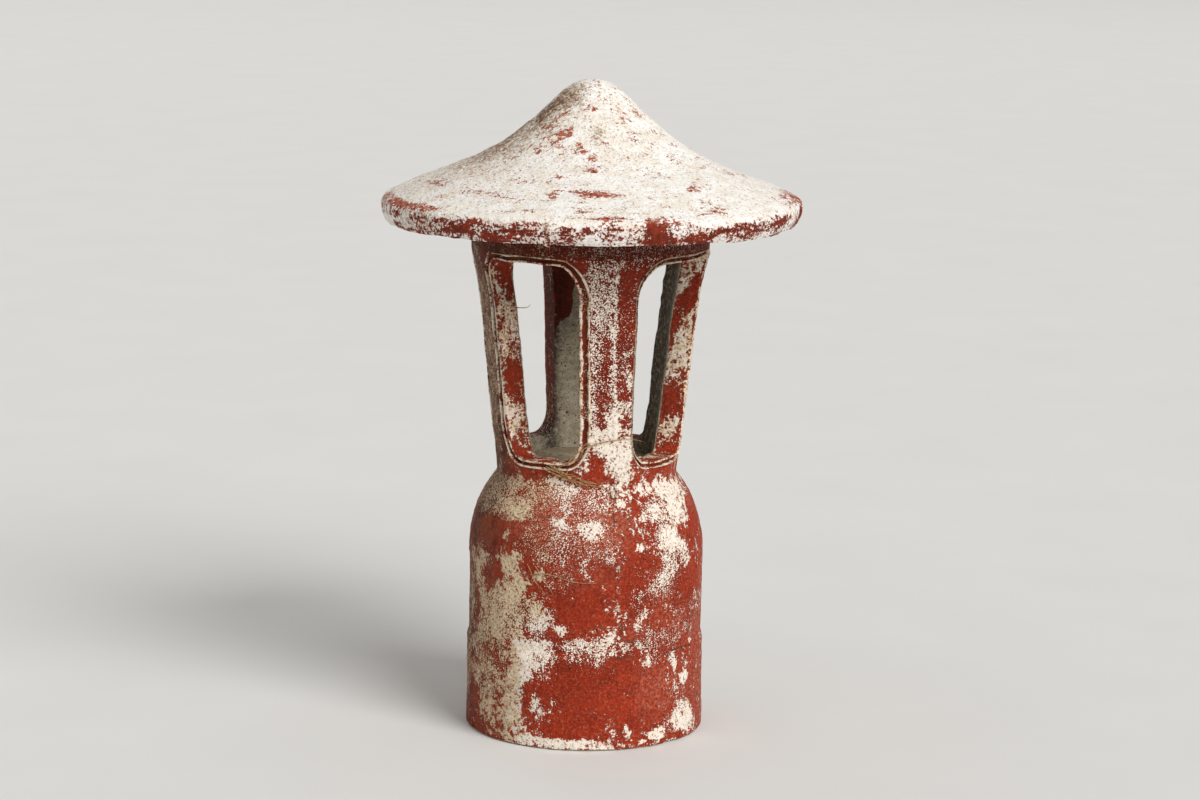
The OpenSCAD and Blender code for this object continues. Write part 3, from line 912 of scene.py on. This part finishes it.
def make_lining(key):
    lining, steps, share = window_lining("lining_" + key, WINDOWS[key])
    p = points_of(lining)
    face = share < 0.01
    outer_lip = smooth(np.abs(steps - OUTER_LIP), 0.55, 0.25) * face
    inner_lip = smooth(np.abs(steps - INNER_LIP), 0.55, 0.25) * face
    groove = smooth(np.abs(steps - GROOVE), 0.8, 0.45) * face
    reveal = smooth(share, 0.02, 0.1)
    broken = fractal(p, 12, 611)
    worn_reveal = 0.16 if "front" in key else -0.12
    level = p[:, 2] + 26 * (share - 0.5) + 9 * broken
    for z, high, amount in REVEAL_BANDS.get(key, ()):
        worn_reveal += amount * smooth(np.abs(level - z), high * 1.3, high * 0.6)

    def finish_lips(wear, dirt):
        wear = 0.26 + (wear - 0.15) * 0.4 + (0.46 + 0.3 * broken) * outer_lip
        wear += (0.42 + 0.3 * broken) * inner_lip - 0.10 * groove + (worn_reveal - 0.03) * reveal
        dirt = dirt * (1 - 0.6 * np.maximum(reveal, outer_lip))
        # Dirt and painted shade in the groove.
        return wear, np.clip(dirt + (0.6 + 0.2 * broken) * groove, 0, 1)

    set_body_finish(lining, p, 0.0, smooth(share, 0.88, 1.0), finish_lips)
    settle(lining, body_shape(p, face * 0.6), 60, LINING, "body", "window_lining", "window_lining_" + key)


def make_floor():
    """The floor cast inside the neck, a shallow dish with a rough top."""
    z0, z1 = FLOOR_LOW[2], FLOOR_HIGH[2]
    edge = [(r_in(z) - 0.2, z) for z in (z1, NECK_Z, z0)]
    outline = polyline([(0, z1), (6, z1), *edge, (6, z0), (0, z0)], 2.5)
    floor = turned("chamber_floor_cast", outline, FLOOR_COLUMNS)
    p = points_of(floor)
    phi, z, r = around(p)
    top = smooth(z, z1 - 2, z1 - 0.5)
    p[:, 2] += top * (fractal(p, 15, 401) * 0.7 - 0.9 * smooth(r, 30, 8))
    swing = np.radians(seam_shift(phi, z))
    p += sideways(phi) * (swing * r)[:, None] + warp(p)
    settle(floor, p, 38, bare_cement(), "body", "bare_cement", "chamber_floor")


# ---- the roof

PEAK_CURVE_R, PEAK_DEG, PEAK_SLOPE = 31.8, 43.3, 27.4
BRIM_CURVE_R, BRIM_DEG = 171.0, 22.0
RIM_TOP_R, RIM_LOW_R, RIM_LOW_DEG = 6.7, 19.0, 38.2
RIM_LIP = 3.0
SEAT_R, SPIGOT_R, SPIGOT_IN, SPIGOT_H = 92.0, 64.0, 56.0, 12.0
STREAK_R = 34.0


def roof_outline():
    """The roof's half section from the peak, over the rim and back under to the axis."""
    peak = np.array([0, LANTERN_H - PEAK_CURVE_R])
    down = np.array([sin_d(PEAK_DEG), cos_d(PEAK_DEG)])
    slope_start = peak + PEAK_CURVE_R * down
    slope_end = slope_start + PEAK_SLOPE * np.array([down[1], -down[0]])
    brim = slope_end + BRIM_CURVE_R * down
    brim_start = brim - BRIM_CURVE_R * np.array([sin_d(BRIM_DEG), cos_d(BRIM_DEG)])
    edge_r = RIM_R - RIM_TOP_R
    brim_end_r = edge_r + RIM_TOP_R * sin_d(BRIM_DEG)
    rim_z = brim_start[1] - (brim_end_r - brim_start[0]) * math.tan(math.radians(BRIM_DEG))
    rim_z -= RIM_TOP_R * cos_d(BRIM_DEG)
    low_c = np.array([RIM_R - RIM_LOW_R, rim_z])
    low = low_c + RIM_LOW_R * np.array([cos_d(RIM_LOW_DEG), -sin_d(RIM_LOW_DEG)])
    hollow = (low[0] - RIM_LIP, low[1])
    hollow_z = hollow[1] + (hollow[0] - SEAT_R) * math.tan(math.radians(BRIM_DEG))
    dome_deg = math.degrees(math.asin((brim[0] - SPIGOT_IN) / (BRIM_CURVE_R + WALL)))
    top = polyline([
        arc(peak, PEAK_CURVE_R, 90, 90 - PEAK_DEG), arc(brim, BRIM_CURVE_R, 270 - PEAK_DEG, 270 - BRIM_DEG),
        arc((edge_r, rim_z), RIM_TOP_R, 90 - BRIM_DEG, 0), arc(low_c, RIM_LOW_R, 0, -RIM_LOW_DEG)], 1.5)
    under = polyline([
        top[-1], hollow, (SEAT_R, hollow_z), (SEAT_R, SEAT_Z), (SPIGOT_R, SEAT_Z),
        (SPIGOT_R, SEAT_Z - SPIGOT_H), (SPIGOT_IN, SEAT_Z - SPIGOT_H),
        arc(brim, BRIM_CURVE_R + WALL, 270 - dome_deg, 270 - PEAK_DEG, 5),
        arc(peak, PEAK_CURVE_R - WALL, 90 - PEAK_DEG, 90, 5)], 5)
    return top, np.concatenate([top, under[1:]])


# Each spot: angle, distance down the slope from the peak, half width, half length and strength.
ROOF_RED = (
    (-39, 64, 8, 5, 62), (-34, 61, 4, 3, 40), (-55, 57, 8, 3, 45), (-44, 74, 4, 4, 40), (-50, 85, 4, 4, 42),
    (-47, 45, 3, 2, 40), (-36, 46, 2, 2, 36), (-14, 38, 3, 2, 42), (44, 45, 4, 3, 26), (22, 47, 4, 2, 26),
    (-23, 73, 3, 4, 38), (-21, 82, 5, 3, 42), (-13, 87, 4, 4, 42), (-4, 93, 3, 2, 34), (-13, 104, 2, 5, 36),
    (-28, 113, 3, 3, 38), (-31, 117, 2, 4, 40), (-27, 138, 3, 11, 42), (-14, 134, 9, 6, 50),
    (-21, 131, 9, 3, 42), (-6, 137, 9, 3, 40), (-17, 146, 3, 5, 36), (-16, 163, 7, 4, 44),
    (6, 144, 4, 4, 38), (26, 135, 6, 4, 34), (24, 165, 10, 4, 40), (18, 166, 3, 4, 32),
    (-9, 172, 14, 3, 44), (7, 177, 15, 5, 46), (-68, 173, 18, 5, 60), (-82, 175, 20, 6, 54),
    (-98, 172, 16, 7, 45), (57, 173, 14, 4, 44), (65, 164, 9, 4, 36), (72, 170, 20, 9, 52),
    (90, 168, 24, 9, 50), (140, 165, 40, 9, 45), (190, 130, 20, 7, 42), (115, 110, 14, 5, 38),
    (-135, 160, 36, 9, 44), (170, 70, 12, 6, 44),
)
ROOF_LICHEN = (
    (-92, 60, 30, 44, 10), (-88, 110, 44, 34, 12), (-66, 26, 12, 14, 34), (-60, 50, 20, 26, 10),
    (-76, 45, 9, 10, 28), (16, 50, 5, 5, 26), (-40, 30, 8, 8, 18), (-52, 150, 20, 12, 12),
    (-72, 120, 34, 34, 12), (-90, 165, 40, 16, 20), (-25, 80, 50, 40, 6), (14, 66, 18, 14, 10),
    (16, 108, 5, 7, 24), (-10, 62, 6, 8, 34), (-120, 90, 60, 50, 36), (180, 80, 70, 60, 24),
    (-66, 181, 34, 10, 30), (-40, 183, 16, 6, 15),
)
# Red on the rim: strength, and the angles where it starts, is full, starts to fade and ends.
RIM_RED = (
    (0.16, -6, 4, 20, 36), (0.12, -56, -46, -31, -26), (-0.05, -200, -199, -56, -48),
    (-0.06, 36, 46, 199, 200), (-0.05, -28, -22, -6, 2),
)
# Stretches of the rim with a cream strip along its lower edge.
RIM_CREAM = ((-54, -48, -27, -22), (18, 22, 34, 40))
DRIP_DEG = -25.5


def within(x, start, full, fading, end):
    return smooth(x, start, full) * smooth(x, end, fading)


def make_roof():
    top, outline = roof_outline()
    roof = turned("roof_hat", outline, ROOF_COLUMNS)
    p = points_of(roof)
    phi, z, r = around(p)
    slope_z = np.interp(r, top[:, 0], top[:, 1])
    rim = smooth(r, RIM_R - 16, RIM_R - 8) * (z > ROOF_LOW[2] + 2)
    outer = np.maximum(smooth(z, slope_z - 6, slope_z - 2), rim)
    length = np.concatenate([[0], np.cumsum(np.hypot(*np.diff(top, axis=0).T))])
    rises = np.argmax(top[:, 0])
    run = np.interp(r, top[:rises + 1, 0], length[:rises + 1])
    below = (r > RIM_R - RIM_LOW_R) & (z < top[rises, 1])
    run = np.where(below, length[rises] + top[rises, 1] - z, run)
    swirl = np.stack([STREAK_R * cos_d(phi), STREAK_R * sin_d(phi), run], 1)
    seen = run + fractal(p, 16, 511) * 1.6
    phi_soft = phi + np.degrees(fractal(p, 20, 521) * 3 / np.maximum(r, 12))
    band = smooth(seen, length[rises] - 6, length[rises] - 1)
    low = smooth(seen, length[rises] + 3, length[rises] + 6)
    red = 0.05 + np.minimum(patches(phi_soft, seen, r, ROOF_RED), 0.5)
    rim_red = 0.50 + 0.26 * fractal(p * [1, 1, 0.6], 20, 531)
    for amount, *span in RIM_RED:
        rim_red += amount * within(phi, *span)
    for span in RIM_CREAM:
        rim_red -= 0.16 * low * within(phi, *span)
    red = red * (1 - band) + band * rim_red
    growth = patches(phi_soft, seen, r, ROOF_LICHEN)
    growth += 0.5 * smooth(np.abs(phi - DRIP_DEG) * np.radians(r), 2.4, 0.8) * band
    raw = (1 - outer) * smooth(fractal(p, 40, 541), 0.3, -0.1)
    set_values(roof, red=np.where(outer > 0.5, red, 0.45), lichen=growth, raw=raw, soot=band)
    attribute = roof.data.attributes.new("streak", "FLOAT_VECTOR", "POINT")
    attribute.data.foreach_set("vector", swirl.astype(np.float32).ravel())
    ripple = noise(swirl, 7, 551) * 0.25 + noise(p, 16, 553) * 0.5
    ripple += noise(p, 6, 555) * 0.25 + noise(p, 3, 557) * 0.2
    calm = smooth(z, LANTERN_H - 1, LANTERN_H - 6)
    sag = noise(p * [1, 1, 0.2], 60, 561) * 1.2 * smooth(r, 40, 120) * (r > SEAT_R)
    lift = outer * calm * (ripple - 0.35) + sag
    chips = np.maximum(0, noise(p, 7, 571) - 0.35) * 2.0 * smooth(r, RIM_R - 12, RIM_R - 4) * outer
    trim = smooth(r, RIM_R - 14, RIM_R - 3) * outer
    inward = trim * (0.7 + 0.8 * noise(p * [1, 1, 0.3], 45, 581) + 0.4 * noise(p, 9, 583)) + chips
    drip = smooth(np.abs(phi - DRIP_DEG) * np.radians(r), 2.6, 0.6)
    drip *= smooth(z, slope_z + 1, ROOF_LOW[2] + 4) * rim
    p[:, 2] += lift - 2.2 * drip * smooth(z, 381, 375)
    p += outward(phi) * (0.5 * drip - np.maximum(inward, 0))[:, None]
    settle(roof, p, 45, worn_roof(), "roof", "worn_roof", "roof")


# ---- dried rootlets

def on_wall(phi, z, proud):
    return points_at(phi, z, r_out(z) + proud)


def tangle(rng, count, start, end, high, low, stray):
    """Loose thin strands from one angle to another, as lists of points on the wall."""
    strands = []
    for _ in range(count):
        a, b = start + rng.uniform(-5, 5), end + rng.uniform(-8, 4)
        points = []
        for t in np.linspace(0, 1, 6):
            z = high + (low - high) * t + rng.uniform(-stray, stray)
            proud = 0.9 + 1.3 * math.sin(t * math.pi) + rng.uniform(-0.3, 0.6)
            points.append(on_wall(a + (b - a) * t, z, proud))
        strands.append((points, rng.uniform(0.22, 0.34)))
    return strands


def make_rootlets():
    material = dried_rootlet()
    along = {
        "window": ((-67, 320, 0.9), (-63, 319, 1.8), (-59, 318, 1.2), (-54, 317.5, 1.6), (-49, 318, 2.4),
                   (-46, 319, 2.6), (-44.6, 321, 2.2)),
        "post": ((-27, 205, 1.0), (-22, 212, 1.3), (-17, 217.5, 1.3), (-10, 221, 1.0), (-2, 223.5, 1.0),
                 (6, 224.5, 1.2), (12, 224.5, 2.2), (19, 222, 3.2)),
        "neck": ((-42, 201, 1.2), (-33, 198, 2.2), (-24, 194, 1.8), (-15, 191, 1.4), (-6, 190, 1.6),
                 (0, 187, 1.0)),
        "barrel": ((-41, 127, 0.9), (-34, 129, 1.3), (-28, 128, 1.0), (-22, 125, 1.2), (-16, 123.5, 1.0),
                   (-9, 124, 1.6)),
    }
    rng = np.random.default_rng(7)
    extra = {"neck": tangle(rng, 8, -38, -8, 202, 190, 2.6),
             "barrel": tangle(rng, 2, -38, -33, 134, 114, 1.5),
             "post": tangle(rng, 2, -30, -16, 203, 214, 1.6),
             "window": []}
    for key, path in along.items():
        strands = [([on_wall(*point) for point in path], 0.46)] + extra[key]
        for n, (points, radius) in enumerate(strands):
            obj = strand(f"rootlet_{key}_{n}", points, radius)
            obj.data.shade_smooth()
            clad(obj, material)
            place(obj, "body", "dried_rootlet")


# ---- the studio

# Degrees, metres and millimetres of lens; turns are round the lantern from its front post.
CAMERA_TURN, CAMERA_REACH, CAMERA_H = -14.0, 2.394, 0.674
CAMERA_PITCH, CAMERA_YAW, CAMERA_ROLL = -10.26, 0.205, 0.94
LENS, SENSOR = 99.93, 36
SUN_TURN, SUN_HEIGHT, SUN_SPREAD, SUN_POWER = 25, 36, 34, 2.65
FILL_AT, FILL_SIZE, FILL_POWER = (-2.2, -1.6, 1.0), 2.0, 2
WARM_WHITE = (1.0, 0.985, 0.96)
SKY, SKY_POWER = (1.0, 0.985, 0.955, 1), 0.44


def make_camera():
    camera = bpy.data.objects.new("camera", bpy.data.cameras.new("camera"))
    bpy.context.scene.collection.objects.link(camera)
    turn = math.radians(CAMERA_TURN)
    camera.location = (CAMERA_REACH * math.sin(turn), -CAMERA_REACH * math.cos(turn), CAMERA_H)
    aim = Matrix.Rotation(turn - math.radians(CAMERA_YAW), 4, "Z")
    aim = aim @ Matrix.Rotation(math.radians(90 + CAMERA_PITCH), 4, "X")
    aim = aim @ Matrix.Rotation(math.radians(CAMERA_ROLL), 4, "Z")
    camera.rotation_euler = aim.to_euler()
    camera.data.lens = LENS
    camera.data.sensor_width = SENSOR
    camera.data.clip_end = 100
    bpy.context.scene.camera = camera


def add_light(kind, name, power, at, ahead, **settings):
    """A warm white light that shines ahead from its place."""
    light = bpy.data.lights.new(name, kind)
    light.energy = power
    light.color = WARM_WHITE
    for key, value in settings.items():
        setattr(light, key, value)
    obj = bpy.data.objects.new(name, light)
    obj.location = at
    obj.rotation_euler = ahead.to_track_quat("-Z", "Y").to_euler()
    bpy.context.scene.collection.objects.link(obj)


def backdrop(flat=13.0, curve=8.0, sides=96, bends=16):
    """A round flat floor that curves up into a low wall: points in millimetres and faces."""
    a = np.linspace(0, 2 * np.pi, sides, endpoint=False)
    bend = np.radians(np.linspace(0, 85, bends))
    rings = [np.stack([r * np.cos(a), r * np.sin(a), np.full(sides, z - 0.0003)], 1)
             for r, z in zip(flat + curve * np.sin(bend), curve * (1 - np.cos(bend)))]
    return np.concatenate(rings) / MM, quads(bends, sides, False, True) + [list(range(sides))]


def make_studio():
    from_sun = Vector((-sin_d(SUN_TURN), cos_d(SUN_TURN), -math.tan(math.radians(SUN_HEIGHT))))
    add_light("SUN", "key", SUN_POWER, (0, 0, 0), from_sun, angle=math.radians(SUN_SPREAD))
    middle = Vector((0, 0, LANTERN_H * MM / 2))
    add_light("AREA", "fill", FILL_POWER, FILL_AT, middle - Vector(FILL_AT), shape="DISK", size=FILL_SIZE)
    world = bpy.data.worlds.new("studio")
    world.use_nodes = True
    background = world.node_tree.nodes["Background"]
    background.inputs["Color"].default_value = SKY
    background.inputs["Strength"].default_value = SKY_POWER
    bpy.context.scene.world = world
    bpy.context.scene.view_settings.view_transform = "Standard"
    floor = new_mesh("studio_floor", *backdrop())
    floor.data.shade_smooth()
    clad(floor, studio_floor())


make_camera()
for shell_side in (-1, 1):
    make_shell(shell_side)
for seam_turn in (0, 180):
    make_seam(seam_turn)
for window in WINDOWS:
    make_lining(window)
make_floor()
make_roof()
make_rootlets()
wire_material = iron_wire()
for node_name in ("post_wires_left", "post_wires_right", "top_hoops", "neck_hoops"):
    clad(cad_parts[node_name], wire_material)
make_studio()
